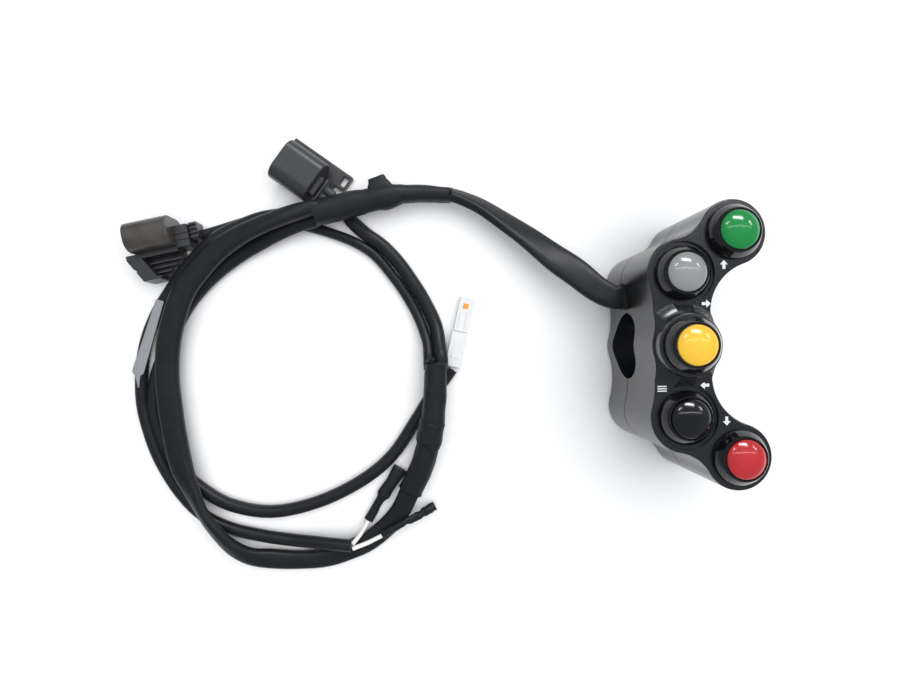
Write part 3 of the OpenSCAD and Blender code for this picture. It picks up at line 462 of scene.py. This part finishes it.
# Lower cable: a round black cable that starts under the trunk shrink, lies inside the loop on
# the table and ends in the white plug.
lower_rows = [(-112.8, 48, 6.9, 5, 4.4), (-115.7, 47, 6.3, 5.4, 4.4), (-122, 45.8, 5.8, 6, 4.2),
              (-129.5, 43, 4.8, 6.2, 4), (-137.5, 39.2, 3.4, 6.2, 4), (-145, 35, 2.5, 6.2, 4),
              (-153, 28.7, 2.3, 5.8, 4.2), (-160, 21, 2.3, 5.2, 4.4), (-165, 13, 2.3, 4.7, 4.5)]
lower_points = [(-169.8, 3, 2.3), (-173.6, -7, 2.3), (-174.8, -17, 2.3), (-173.5, -25, 2.3),
                (-170.5, -33, 2.3), (-166, -40.5, 2.3), (-159, -47.5, 2.3), (-148.5, -54, 2.3),
                (-133.5, -57, 2.3), (-117, -54, 2.3), (-101.5, -47, 2.3), (-90, -38, 2.3),
                (-81.5, -26, 2.3), (-76, -17.5, 2.3), (-71, -11.5, 2.3), (-67.8, -7.2, 2.3)]
lower_cable, lower_line = sweep("lower_cable_pvc", lower_rows + round_rows(lower_points, 4.5))
dress(lower_cable, sleeve_pvc, replaced=["lower_cable"])

# Left plug: a sealed black plug that lies on its narrow side. An open shroud with round corners
# stands on a rear block, with the lock beside it and a ribbed cover over the wires.
left_place = on_table(-156.6, 43, 191.3)


def shroud_in(bm, low, high, corner, wall, deep):
    """Adds an open shroud along local X: round long edges and a socket in its front face."""
    verts = box_in(bm, low, high)
    faces = {f for v in verts for f in v.link_faces}
    long_edges = [e for f in faces for e in f.edges
                  if abs((e.verts[0].co - e.verts[1].co).normalized().x) > 0.9]
    bmesh.ops.bevel(bm, geom=list(set(long_edges)), offset=corner * mm, offset_type="OFFSET",
                    segments=6, profile=0.5, affect="EDGES", clamp_overlap=True, material=-1)
    front_x = high[0] * mm
    front = [f for f in bm.faces if f.normal.x > 0.9 and abs(f.calc_center_median().x - front_x) < mm / 100]
    bmesh.ops.inset_region(bm, faces=front, thickness=wall * mm, use_even_offset=True)
    pushed = bmesh.ops.extrude_face_region(bm, geom=front)["geom"]
    bmesh.ops.delete(bm, geom=front, context="FACES")
    bmesh.ops.translate(bm, vec=(-deep * mm, 0, 0),
                        verts=[g for g in pushed if isinstance(g, bmesh.types.BMVert)])


plug_black = finish_of("plug_black", moulded_skin, (0.033, 0.034, 0.037), 900, 0.25, 0.3, 0.12,
                       bump=0.15, depth=0.05)
# Painted reflection: the left shell gets a lighter warm brown in big patches, standing in for the warm
# reflection on its top face.
plug_painted_reflection = finish_of("plug_painted_reflection", moulded_skin, (0.06, 0.055, 0.05), 150, 0.9, 0.24, 0.12,
                      bump=0.1, depth=0.05)
left_bm = bmesh.new()
shroud_in(left_bm, (7.4, -7, 0), (22.6, 3.4, 15.4), 4.4, 1.4, 12.2)
left_bm.transform(left_place)
left_shell = new_piece("left_plug_shell_moulded", left_bm)
soften(left_shell, 0.35)
dress(left_shell, plug_painted_reflection, replaced=["left_plug_shell"])
block_bm = bmesh.new()
box_in(block_bm, (2.8, -3.6, 0.5), (7.6, 4.2, 9))
box_in(block_bm, (2.8, -1.2, 8.8), (7.6, -0.4, 9.4))
box_in(block_bm, (2.8, 1, 8.8), (7.6, 1.8, 9.4))
block_bm.transform(left_place)
left_block = new_piece("left_plug_block_moulded", block_bm)
soften(left_block, 0.25)
dress(left_block, plug_black)


def outline_block(name, outline, low, high, place):
    """A block with the given plan, in mm, between two heights."""
    bm = bmesh.new()
    face = bm.faces.new([bm.verts.new((x * mm, y * mm, low * mm)) for x, y in outline])
    top = bmesh.ops.extrude_face_region(bm, geom=[face])["geom"]
    bmesh.ops.translate(bm, vec=(0, 0, (high - low) * mm),
                        verts=[g for g in top if isinstance(g, bmesh.types.BMVert)])
    bmesh.ops.recalc_face_normals(bm, faces=bm.faces)
    bm.transform(place)
    return new_piece(name, bm)


def carve(piece, tool, how):
    """Cuts or joins a piece with a tool body, which is then thrown away."""
    step = piece.modifiers.new("carve", "BOOLEAN")
    step.operation = how
    step.solver = "EXACT"
    step.object = tool
    bpy.context.view_layer.update()
    cut = bpy.data.meshes.new_from_object(piece.evaluated_get(bpy.context.evaluated_depsgraph_get()))
    piece.modifiers.remove(step)
    piece.data = cut
    bpy.data.objects.remove(tool)


lock_plan = [(7.6, 3.5), (25.6, 3.5), (25.6, 5.1), (21.2, 13.3), (15.6, 13.3), (7.6, 6.9)]
left_lock = outline_block("left_plug_lock_moulded", lock_plan, 0, 8.5, left_place)
channel = [(6.6, 5.1), (20.4, 5.1), (16.5, 12.3), (6.6, 12.3)]
carve(left_lock, outline_block("channel_tool", channel, 2.5, 9.5, left_place), "DIFFERENCE")
slope = math.atan2(lock_plan[3][1] - lock_plan[2][1], lock_plan[3][0] - lock_plan[2][0])
notch_place = left_place @ Matrix.Translation((23.4 * mm, 9.2 * mm, 0)) @ Matrix.Rotation(slope, 4, "Z")
notch_plan = [(-0.6, -0.35), (0.6, -0.35), (0.6, 0.35), (-0.6, 0.35)]
notch = outline_block("notch_tool", notch_plan, -1, 9.5, notch_place)
carve(left_lock, notch, "DIFFERENCE")
ribs_bm = bmesh.new()
for v, start, end in ((6.9, 8, 19.6), (8.7, 10.3, 18.6), (10.5, 12.5, 17.6)):
    box_in(ribs_bm, (start, v - 0.3, 2), (end, v + 0.3, 5))
ribs_bm.transform(left_place)
carve(left_lock, new_piece("rib_tool", ribs_bm), "UNION")
soften(left_lock, 0.2)
dress(left_lock, plug_black, replaced=["left_plug_lock"])
cover_bm = bmesh.new()
cover_deep, rib_pitch = 2.6, 1.55
box_in(cover_bm, (0, -4.2, 0.3), (cover_deep, 2, 7))
for k in range(4):
    box_in(cover_bm, (0, -3.8 + rib_pitch * k, 6.8), (cover_deep, -3.05 + rib_pitch * k, 8))
cover_bm.transform(left_place)
left_cover = new_piece("left_plug_cover_moulded", cover_bm)
soften(left_cover, 0.2)
dress(left_cover, plug_black, replaced=["left_plug_cap"])

# Left cable: the thinner cable out of the loop shrink. It runs under the trunk shrink and the
# main sleeve, flat on the table, to the left plug.
left_points = [(-76.1, -7, 8.4), (-76.2, -4.3, 8.3), (-76.2, -2, 7.9), (-76.6, 3, 5.8), (-79.2, 11, 3.2),
               (-83.2, 19, 2.1), (-88.3, 26.7, 2), (-95.2, 35, 2), (-102.5, 39.8, 2), (-109.5, 42.7, 2),
               (-116, 44.8, 2), (-124.5, 47, 2), (-133.5, 48.5, 2), (-141.5, 47.5, 2), (-150, 45, 2),
               (-157.5, 42.8, 2.2)]
left_cable, left_line = sweep("left_cable_pvc", round_rows(left_points, 3.7), sides=16)
dress(left_cable, sleeve_pvc, replaced=["left_cable"])

# Top plug: the same sealed plug, rolled onto its lock so that the wide side of its shroud is up.
# The lock is a flat plate under it with a window in its tail, and two grey seals close the rear.
top_place = on_table(-110.2, 57.2, 144)
top_bm = bmesh.new()
shroud_in(top_bm, (4.7, -7.1, 3.2), (19.9, 8.3, 13.6), 4.4, 1.4, 12.2)
box_in(top_bm, (2.8, -2, 3.7), (4.9, 5.2, 11.1))
top_bm.transform(top_place)
top_shell = new_piece("top_plug_shell_moulded", top_bm)
soften(top_shell, 0.35)
dress(top_shell, plug_black, replaced=["top_plug_shell"])
plate_plan = [(-3, -9.4), (22.2, -9.4), (22.2, 2.6), (1, 2.6), (1, -3.2), (-3, -3.2)]
top_lock = outline_block("top_plug_lock_moulded", plate_plan, 0, 3.1, top_place)
window = outline_block("window_tool", [(-2.3, -8), (0, -8), (0, -4.6), (-2.3, -4.6)], -1, 4, top_place)
carve(top_lock, window, "DIFFERENCE")
soften(top_lock, 0.3)
dress(top_lock, plug_black, replaced=["top_plug_lock"])
seals_bm = bmesh.new()
box_in(seals_bm, (2, -2.8, 3.7), (2.6, 6, 8.7))
seal_z, seal_start, lip_pitch, lip_w, lip_r, core_r = 5, -1.6, 1.05, 0.75, 1.45, 1.25
lengthways = Matrix.Rotation(math.pi / 2, 4, "Y")
for v in (0.1, 3.1):
    for k in range(4):
        lip_place = Matrix.Translation(((seal_start + lip_pitch * k + lip_w / 2) * mm, v * mm, seal_z * mm))
        bmesh.ops.create_cone(seals_bm, cap_ends=True, segments=24, radius1=lip_r * mm, radius2=lip_r * mm,
                              depth=lip_w * mm, matrix=lip_place @ lengthways)
    core_place = Matrix.Translation((0.4 * mm, v * mm, seal_z * mm))
    bmesh.ops.create_cone(seals_bm, cap_ends=True, segments=24, radius1=core_r * mm, radius2=core_r * mm,
                          depth=3.8 * mm, matrix=core_place @ lengthways)
seals_bm.transform(top_place)
top_seals = new_piece("top_plug_seals_moulded", seals_bm)
soften(top_seals, 0.15)
seal_grey = finish_of("seal_grey", moulded_skin, (0.07, 0.073, 0.078), 900, 0.15, 0.5, 0.1)
dress(top_seals, seal_grey, replaced=["top_plug_cap"])

# Top cable: the thicker round cable out of the loop shrink. It comes down to the table beside
# the left cable, runs under the trunk shrink and rises a little into the top plug.
top_points = [(-71.7, -7, 9), (-71.7, -4.4, 9), (-71.8, -2.2, 8.6), (-72.3, 1.5, 6.6), (-73.5, 9, 3.4),
              (-77.5, 18, 2.6), (-82, 25.5, 2.6), (-86.5, 32, 2.6), (-92, 38, 2.6), (-98, 42.5, 2.6),
              (-103, 47.2, 2.6), (-106.2, 52, 2.6), (-109.4, 54.7, 3.8)]
top_cable, top_line = sweep("top_cable_pvc", round_rows(top_points, 5))
dress(top_cable, sleeve_pvc, replaced=["top_cable"])

# Housing halves: milled from aluminium bar to one plan of five round posts and hollows, the
# edges broken, then bead blasted and anodised black. The bore is cut through both together.
posts = {"middle": (Vector((0, 0, 0)), 10), "brow": (Vector((1, 0, 0)), 10),
         "inner": (Vector((0.95, 21.7, 0)), 10.9), "arm": (Vector((16.55, 33.9, 0)), 10.1)}
seats = {"green": (16.55, 33.9, 24.5), "grey": (0.95, 21.7, 23.5), "yellow": (0, 0, 31),
         "black": (0.95, -21.7, 23.5), "red": (16.55, -33.9, 24.5)}
bar_r = 11.1


def hollow_between(a, b, radius, hand):
    """Middle of a round hollow that touches two posts, on the left of the way from a to b."""
    (ca, ra), (cb, rb) = posts[a], posts[b]
    way = cb - ca
    reach = ((ra + radius) ** 2 - (rb + radius) ** 2 + way.length_squared) / (2 * way.length)
    aside = math.sqrt((ra + radius) ** 2 - reach ** 2) * hand
    unit = way.normalized()
    return ca + unit * reach + Vector((-unit.y, unit.x, 0)) * aside


def plan_block(name, low, high, edge_up, edge_down):
    """A block with the housing's plan: arcs spun from one vertex, mirrored, filled and raised."""
    waist = hollow_between("middle", "inner", 29, 1)
    shoulder = hollow_between("inner", "arm", 12, 1)
    grip = hollow_between("brow", "arm", 15.5, -1)
    middle, brow, inner, arm = (posts[k][0] for k in ("middle", "brow", "inner", "arm"))
    bm = bmesh.new()
    tip = bm.verts.new((-posts["middle"][1], 0, 0))
    right_end = brow + Vector((1, 0, 0))
    for centre, towards, hand in ((middle, waist, -1), (waist, inner, 1), (inner, shoulder, -1),
                                  (shoulder, arm, 1), (arm, grip, -1), (grip, brow, 1),
                                  (brow, right_end, -1)):
        start = math.atan2(tip.co.y - centre.y, tip.co.x - centre.x)
        end = math.atan2(towards.y - centre.y, towards.x - centre.x)
        sweep_angle = ((end - start) * hand) % math.tau * hand
        steps = max(4, round(abs(sweep_angle) / math.radians(4)))
        spun = bmesh.ops.spin(bm, geom=[tip], cent=centre, axis=(0, 0, 1), dvec=(0, 0, 0),
                              angle=sweep_angle, steps=steps, use_duplicate=False)
        tip = [g for g in spun["geom_last"] if isinstance(g, bmesh.types.BMVert)][0]
    bmesh.ops.mirror(bm, geom=bm.verts[:] + bm.edges[:], matrix=Matrix.Identity(4),
                     merge_dist=0.001, axis="Y")
    bmesh.ops.remove_doubles(bm, verts=bm.verts, dist=0.001)
    bmesh.ops.translate(bm, vec=(0, 0, low), verts=bm.verts)
    base = bmesh.ops.edgeloop_fill(bm, edges=bm.edges[:])["faces"]
    raised = bmesh.ops.extrude_face_region(bm, geom=base)["geom"]
    bmesh.ops.translate(bm, vec=(0, 0, high - low),
                        verts=[g for g in raised if isinstance(g, bmesh.types.BMVert)])
    bmesh.ops.recalc_face_normals(bm, faces=bm.faces)
    for level, edge in ((high, edge_up), (low, edge_down)):
        rim = [e for e in bm.edges if all(abs(v.co.z - level) < 0.001 for v in e.verts)]
        bmesh.ops.bevel(bm, geom=rim, offset=edge, offset_type="OFFSET", segments=3, profile=0.5,
                        affect="EDGES", clamp_overlap=False, material=-1)
    bmesh.ops.scale(bm, vec=(mm, mm, mm), verts=bm.verts)
    return new_piece(name, bm)


def lathe_in(bm, profile, at, steps=64):
    """Spins a closed profile of radius and height, in mm, about the upright axis at a place."""
    verts = [bm.verts.new(((at[0] + r) * mm, at[1] * mm, (at[2] + z) * mm)) for r, z in profile]
    edges = [bm.edges.new(pair) for pair in zip(verts, verts[1:] + verts[:1])]
    bmesh.ops.spin(bm, geom=verts + edges, cent=Vector(at) * mm, axis=(0, 0, 1), dvec=(0, 0, 0),
                   angle=math.tau, steps=steps, use_merge=True, use_duplicate=False)


def closed(bm):
    """Merges what a full spin leaves doubled on its axis, and turns the faces outwards."""
    bmesh.ops.remove_doubles(bm, verts=bm.verts, dist=0.001 * mm)
    bmesh.ops.dissolve_degenerate(bm, edges=bm.edges, dist=0.0005 * mm)
    bmesh.ops.recalc_face_normals(bm, faces=bm.faces)


def bar_tool(name):
    """The bar's bore and the cable opening in the left wall, as one cutting body."""
    bm = bmesh.new()
    bmesh.ops.create_cone(bm, cap_ends=True, segments=128, radius1=bar_r * mm, radius2=bar_r * mm,
                          depth=60 * mm, matrix=Matrix.Rotation(math.pi / 2, 4, "Y"))
    box_in(bm, (-21, 12.4, -2.5), (-3, 21.2, 2.5))
    return new_piece(name, bm)


front = plan_block("front_housing_milled", 0.15, 24.5, 0.5, 0.15)
flare = plan_block("flare_tool", 24, 28, 0.05, 0.05)
cone_bm = bmesh.new()
lathe_in(cone_bm, [(0, 23.5), (14.2, 23.5), (8.2, 28.5), (0, 28.5)], (0, 0, 0), 96)
closed(cone_bm)
carve(flare, new_piece("cone_tool", cone_bm), "INTERSECT")
carve(front, flare, "UNION")
turret_bm = bmesh.new()
lathe_in(turret_bm, [(0, 23), (9.4, 23), (9.4, 30.5), (9.25, 30.85), (8.9, 31), (0, 31)], (0, 0, 0), 96)
closed(turret_bm)
carve(front, new_piece("turret_tool", turret_bm), "UNION")
carve(front, bar_tool("bore_tool"), "DIFFERENCE")
holes_bm = bmesh.new()
hole_r, pocket_r, spot_r = 7.1, 8.2, 9.7
for colour, seat in seats.items():
    if colour == "yellow":
        profile = [(0, -18.6), (hole_r, -18.6), (hole_r, 3), (0, 3)]
    else:
        pocket_z = -seat[2] - 1
        profile = [(0, pocket_z), (pocket_r, pocket_z), (pocket_r, -3), (hole_r, -3), (hole_r, 0)]
        if colour in ("grey", "black"):
            profile += [(spot_r, 0), (spot_r, 3), (0, 3)]
        else:
            profile += [(hole_r, 3), (0, 3)]
    lathe_in(holes_bm, profile, seat, 96)
closed(holes_bm)
carve(front, new_piece("holes_tool", holes_bm), "DIFFERENCE")
even_light(front, 40)
rear = plan_block("rear_housing_milled", -18.5, -0.15, 0.15, 1.6)
carve(rear, bar_tool("rear_bore_tool"), "DIFFERENCE")
sinks_bm = bmesh.new()
for side in (-1, 1):
    lathe_in(sinks_bm, [(0, -20), (4.45, -20), (4.45, -13.1), (2.7, -13.1), (2.7, 1), (0, 1)],
             (3.2, 16.2 * side, 0), 48)
closed(sinks_bm)
carve(rear, new_piece("sinks_tool", sinks_bm), "DIFFERENCE")
even_light(rear, 40)
anodised = finish_of("anodised_black", moulded_skin, (0.009, 0.0098, 0.0118), 2600, 0.2, 0.18, 0.1,
                     bump=0.08, depth=0.02, Specular_IOR_Level=0.85)
dress(front, anodised, replaced=["front_housing"])
dress(rear, anodised, replaced=["rear_housing"])

# Printed signs: four white arrows and a sign of three bars, screen printed on the face and so
# thin that they only just stand on it.
print_white = finish_of("print_white", moulded_skin, (0.72, 0.73, 0.75), 1500, 0.08, 0.55, 0.1)
face_z, ink_thick = 24.5, 0.03
arrow = [(-1.35, -0.45), (0, -0.45), (0, -1.2), (1.35, 0), (0, 1.2), (0, 0.45), (-1.35, 0.45)]
for name, x, y, turn in (("up", 13.4, 24.1, 90), ("down", 13, -23, -90), ("right", 7.7, 12.4, 0),
                         ("left", 6.6, -12.1, 180)):
    place = Matrix.Translation((x * mm, y * mm, face_z * mm)) @ Matrix.Rotation(math.radians(turn), 4, "Z")
    sign = outline_block("arrow_" + name, arrow, 0, ink_thick, place)
    dress(sign, print_white)
sign_bar = [(-1.4, -0.17), (1.4, -0.17), (1.4, 0.17), (-1.4, 0.17)]
for k in range(3):
    bar_place = Matrix.Translation((-6.4 * mm, (-13.6 + 0.7 * k) * mm, face_z * mm))
    bar = outline_block(f"sign_bar_{k + 1}", sign_bar, 0, ink_thick, bar_place)
    dress(bar, print_white)

# Bezels: turned black rings that screw the switches to the face, each a steep cone with a
# narrow flat rim round its cap.
bezel_gloss = finish_of("bezel_gloss", moulded_skin, (0.005, 0.005, 0.006), 1200, 0.2, 0.08, 0.06,
                        bump=0.03, depth=0.02, Coat_Weight=0.3, Coat_Roughness=0.04)
bezel_profile = [(7, -8), (7, 0.5), (7.95, 0.5), (8.2, 0.75), (8.2, 1.45), (8.1, 1.75), (7.45, 2.8), (7, 3.5),
                 (6.82, 3.78), (6.6, 4), (6.2, 4), (6.03, 3.85), (6, 3.65), (6, 2.4), (6.3, 2.4),
                 (6.3, -2.2), (1.7, -2.2), (1.7, -3.7), (6.3, -3.7), (6.3, -8)]
for colour, seat in seats.items():
    bm = bmesh.new()
    lathe_in(bm, bezel_profile, seat)
    closed(bm)
    bezel = new_piece(f"bezel_{colour}_turned", bm)
    even_light(bezel, 35)
    dress(bezel, bezel_gloss, replaced=["bezel_" + colour])

# Caps: glossy moulded domes, one colour to each button, kept under the bezel's lip by a flange.
# Each rides on its own button and slides straight down.
cap_tints = {"green": (0.01, 0.235, 0.053), "grey": (0.265, 0.277, 0.277), "yellow": (0.92, 0.54, 0.045),
             "black": (0.006, 0.006, 0.008), "red": (0.48, 0.025, 0.032)}
dome_top, dome_edge, cap_r = 6.5, 4.3, 5.85
dome_h = dome_top - dome_edge
dome_r = (cap_r ** 2 + dome_h ** 2) / (2 * dome_h)
dome_arc = [(dome_r * math.sin(a), dome_top - dome_r * (1 - math.cos(a)))
            for a in (math.asin(cap_r / dome_r) * k / 14 for k in range(14))]
cap_profile = dome_arc + [(5.78, 4.33), (5.85, 4.2), (5.85, 2.3), (6.15, 2.3), (6.15, 1.2), (4.65, 1.2),
                          (4.65, 3.6), (0, 3.6)]
for colour, seat in seats.items():
    bm = bmesh.new()
    lathe_in(bm, cap_profile, seat)
    closed(bm)
    cap = new_piece(f"cap_{colour}_moulded", bm)
    even_light(cap, 40)
    gloss = finish_of(f"cap_{colour}_gloss", moulded_skin, cap_tints[colour], 700, 0.06, 0.14, 0.06,
                      bump=0.03, depth=0.02, Coat_Weight=0.4, Coat_Roughness=0.04)
    dress(cap, gloss, body="button_" + colour, replaced=["cap_" + colour])

# Return springs: wound steel wire between the bezel's web and the cap, which shorten as the
# button goes down.
spring_steel = finish_of("spring_steel", stretched_skin, (0.5, 0.5, 0.52), 900, 0.1, 0.28, 0.1, Metallic=1.0)
spring_foot, spring_h, spring_r, wire_d, turns = -1.8, 5.0, 3.0, 0.6, 4
per_turn = 16
table_mm = table_z / mm
for colour, seat in seats.items():
    rows = []
    for k in range(turns * per_turn + 1):
        a = math.tau * k / per_turn
        rows.append((seat[0] + spring_r * math.cos(a), seat[1] + spring_r * math.sin(a),
                     seat[2] + spring_foot + spring_h * k / (turns * per_turn) - table_mm, wire_d, wire_d))
    spring, _ = sweep(f"spring_{colour}_wound", rows, fine=1, sides=8)
    dress(spring, spring_steel, replaced=["spring_" + colour])
    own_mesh(spring)

# Fittings that keep their CAD shape: clamp bolts, grommet, gaskets, nuts and the parts inside
# the switches. Each takes the finish of what it is made of.
oxide_steel = finish_of("oxide_steel", moulded_skin, (0.05, 0.05, 0.055), 1500, 0.2, 0.32, 0.12, Metallic=0.9)
rubber = finish_of("rubber", moulded_skin, (0.012, 0.012, 0.012), 1800, 0.2, 0.6, 0.15, bump=0.2)
nickel = finish_of("nickel", moulded_skin, (0.55, 0.54, 0.51), 1200, 0.08, 0.25, 0.1, Metallic=1.0)
brass = finish_of("brass", moulded_skin, (0.7, 0.48, 0.18), 1200, 0.1, 0.28, 0.1, Metallic=1.0)
acetal = finish_of("acetal", moulded_skin, (0.68, 0.68, 0.64), 900, 0.05, 0.4, 0.1)
cup_black = finish_of("cup_black", moulded_skin, (0.015, 0.015, 0.015), 900, 0.2, 0.45, 0.12)
fittings = {"clamp_bolts": oxide_steel, "cable_grommet": rubber, "bezel_gaskets": rubber,
            "ring_nuts": nickel, "terminal_pins": brass}
for colour in seats:
    fittings["plunger_" + colour] = acetal
    fittings["bridge_" + colour] = brass
    fittings["contact_cup_" + colour] = cup_black
for name, paint in fittings.items():
    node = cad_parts[name]
    node.data.materials.clear()
    node.data.materials.append(paint)
